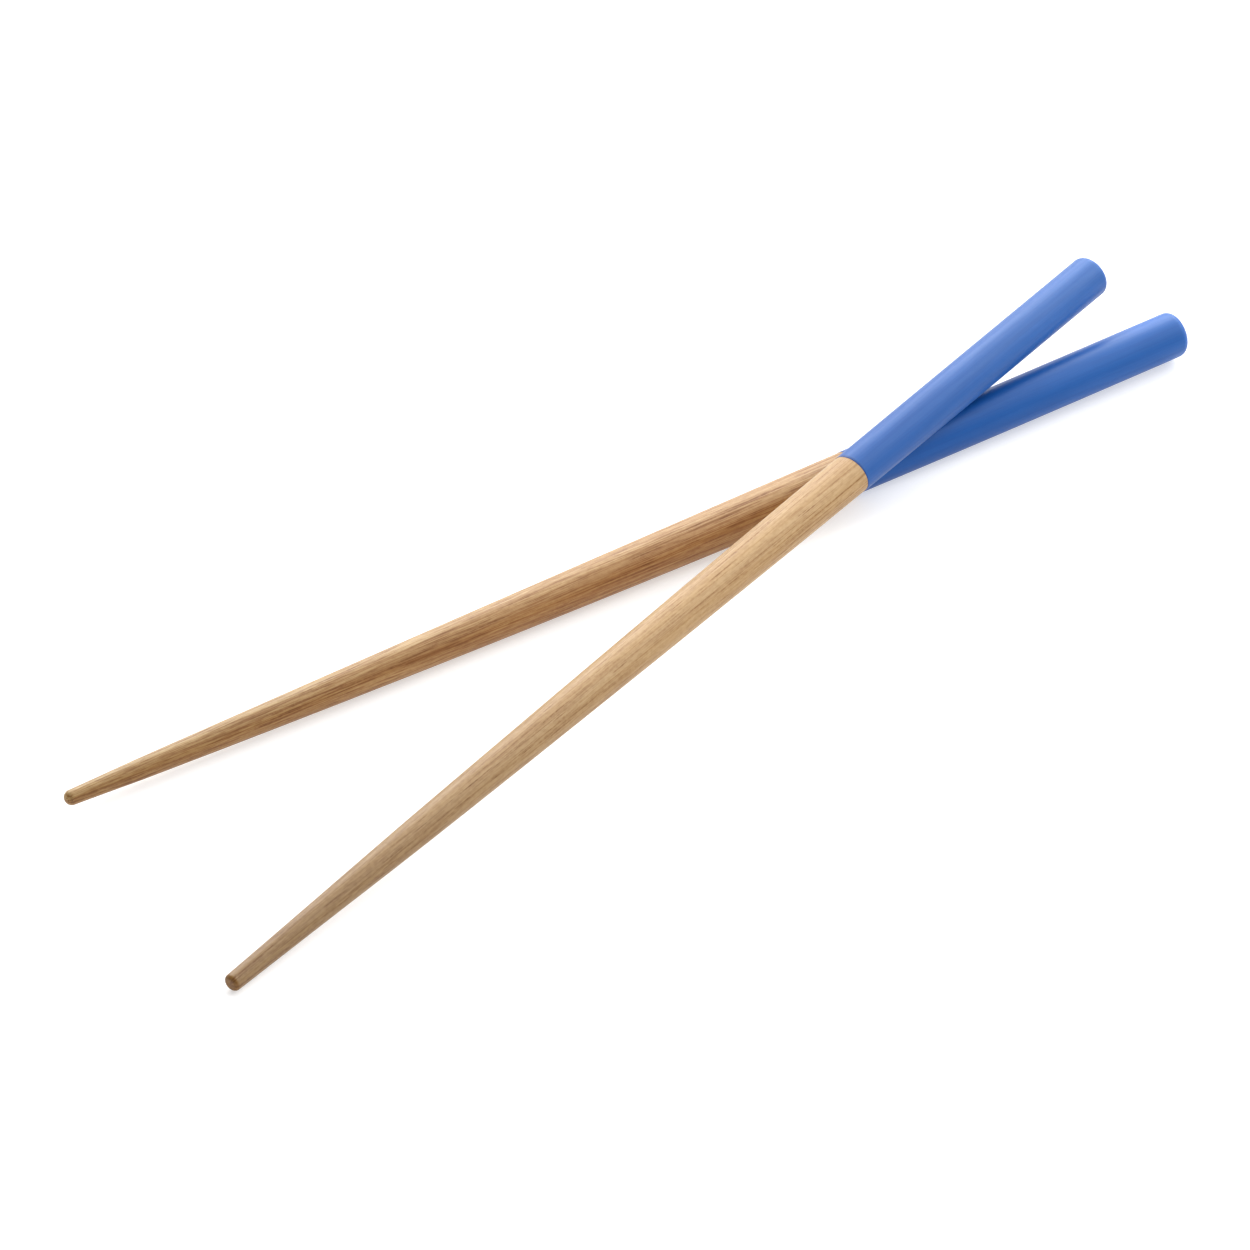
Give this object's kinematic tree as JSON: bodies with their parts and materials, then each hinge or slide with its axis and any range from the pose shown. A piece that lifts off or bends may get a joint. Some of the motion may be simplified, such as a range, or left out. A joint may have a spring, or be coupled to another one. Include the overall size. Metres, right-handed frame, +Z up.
{
  "type": "chopsticks",
  "caption": "Pair of round tapered bamboo chopsticks with blue lacquered grips, resting crossed, one over the other.",
  "frame": {"origin": "on the floor, under the middle of the pair's bounding box as it lies at rest", "axes": "+X along the lower stick from tip to butt, seen from above; +Y to the side that the upper stick's butt points to; +Z up"},
  "size_m": [0.231, 0.0706, 0.0185],
  "materials": {
    "lower_bamboo": "smooth turned bamboo, oiled, satin",
    "lower_lacquer": "satin blue lacquer",
    "upper_bamboo": "smooth turned bamboo, oiled, satin",
    "upper_lacquer": "satin blue lacquer"
  },
  "bodies": {
    "lower_stick": {"lower_shaft": "lower_bamboo", "lower_grip_coat": "lower_lacquer"},
    "upper_stick": {"upper_shaft": "upper_bamboo", "upper_grip_coat": "upper_lacquer"}
  },
  "joints": [
    {"name": "upper_stick_lift", "type": "slide", "parent": "lower_stick", "child": "upper_stick", "axis": [0, 0, 1], "range_m": [0, 0.06]}
  ]
}
